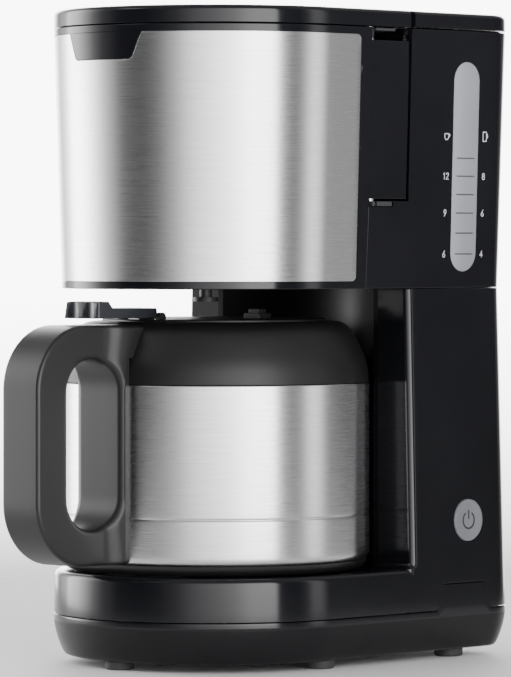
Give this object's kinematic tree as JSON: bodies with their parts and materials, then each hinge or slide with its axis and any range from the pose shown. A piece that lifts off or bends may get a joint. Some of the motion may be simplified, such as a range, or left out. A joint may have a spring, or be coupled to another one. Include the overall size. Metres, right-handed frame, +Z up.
{
  "type": "drip coffee maker",
  "caption": "Compact drip coffee maker: waisted black body with rear water tank and level gauge, swing-out filter unit with brushed steel front, and steel thermal jug with handle and lever lid.",
  "frame": {"origin": "centre of the part's bounding box at the height of the table it stands on", "axes": "+Z up; -Y is the front with the jug handle, +Y the rear; +X is the side with the level gauge and the power button"},
  "size_m": [0.1648, 0.284, 0.334],
  "materials": {
    "gloss_black": "moulded black plastic, polished",
    "satin_black": "dark grey-black plastic, fine spark texture",
    "lever_plastic": "blue-grey black plastic",
    "brushed_steel": "stainless steel brushed around the body",
    "liner_steel": "plain bright steel",
    "tank_plastic": "smoke grey translucent plastic",
    "gauge_clear": "frosted clear plastic",
    "print_ink": "printed ink",
    "inner_plastic": "black glass-filled plastic",
    "silicone_hose": "silicone rubber",
    "heater_aluminium": "extruded aluminium",
    "ceramic": "cream moulded part",
    "rubber_foot": "black rubber",
    "button_grey": "silver-grey painted plastic"
  },
  "bodies": {
    "root": {"base_shell": "gloss_black", "lower_housing": "gloss_black", "upper_housing": "gloss_black", "top_cover": "gloss_black", "water_tank": "tank_plastic", "level_gauge": "gauge_clear", "gauge_marks": "print_ink", "shower_head": "inner_plastic", "riser_tube": "silicone_hose", "inlet_hose": "silicone_hose", "check_valve": "ceramic", "heater_body": "heater_aluminium", "heating_element": "heater_aluminium", "heater_bracket": "liner_steel", "thermostat": "ceramic", "thermal_fuse": "ceramic", "power_switch": "inner_plastic", "button_guide": "inner_plastic", "wiring_loom": "silicone_hose", "cord_gland": "inner_plastic", "feet": "rubber_foot", "base_screws": "liner_steel", "cover_screws": "liner_steel", "door_hinge_pin": "liner_steel", "lid_hinge_pins": "liner_steel"},
    "filter_door": {"door_shell": "gloss_black", "steel_panel": "brushed_steel", "badge_tab": "gloss_black", "filter_basket": "inner_plastic"},
    "drip_valve": {"drip_valve": "inner_plastic", "valve_seal": "silicone_hose", "valve_spring": "liner_steel"},
    "tank_lid": {"tank_lid": "gloss_black"},
    "power_button": {"power_button": "button_grey", "button_symbol": "print_ink", "button_spring": "liner_steel"},
    "jug": {"jug_shell": "brushed_steel", "jug_liner": "liner_steel", "jug_base": "satin_black", "jug_collar": "satin_black", "collar_seal": "silicone_hose", "jug_handle": "satin_black", "handle_screws": "liner_steel"},
    "jug_lid": {"jug_lid": "satin_black", "lid_seal": "silicone_hose", "lever_pin": "liner_steel"},
    "lid_lever": {"lid_lever": "lever_plastic", "lever_arm": "lever_plastic"},
    "pour_valve": {"pour_valve": "inner_plastic", "pour_seal": "silicone_hose"}
  },
  "joints": [
    {"name": "filter_door_swing", "type": "hinge", "parent": "root", "child": "filter_door", "pos_m": [0.07, 0.037, 0.258], "axis": [0, 0, 1], "range_deg": [0, 90]},
    {"name": "drip_valve_lift", "type": "slide", "parent": "filter_door", "child": "drip_valve", "axis": [0, 0, 1], "range_m": [0, 0.004], "stiffness_N_per_m": 150, "springref_m": -0.003, "deforming": ["valve_spring"]},
    {"name": "tank_lid_hinge", "type": "hinge", "parent": "root", "child": "tank_lid", "pos_m": [0, 0.0584, 0.3313], "axis": [1, 0, 0], "range_deg": [0, 90]},
    {"name": "power_button_press", "type": "slide", "parent": "root", "child": "power_button", "axis": [-1, 0, 0], "range_m": [0, 0.002], "stiffness_N_per_m": 600, "springref_m": -0.001, "deforming": ["button_spring"]},
    {"name": "jug_pull_out", "type": "slide", "parent": "root", "child": "jug", "axis": [0, -1, 0], "range_m": [0, 0.25]},
    {"name": "jug_lid_turn", "type": "hinge", "parent": "jug", "child": "jug_lid", "pos_m": [0, -0.005, 0.17], "axis": [0, 0, 1], "range_deg": [0, 60]},
    {"name": "lid_lever_press", "type": "hinge", "parent": "jug_lid", "child": "lid_lever", "pos_m": [0, -0.057, 0.1782], "axis": [1, 0, 0], "range_deg": [0, 2.5], "stiffness_Nm_per_rad": 1.2, "springref_deg": -2.86},
    {"name": "pour_valve_lift", "type": "slide", "parent": "jug_lid", "child": "pour_valve", "axis": [0, 0, 1], "range_m": [0, 0.00092]}
  ],
  "couplings": [
    {"joint": "pour_valve_lift", "follows": "lid_lever_press", "m_per_rad": 0.021}
  ]
}
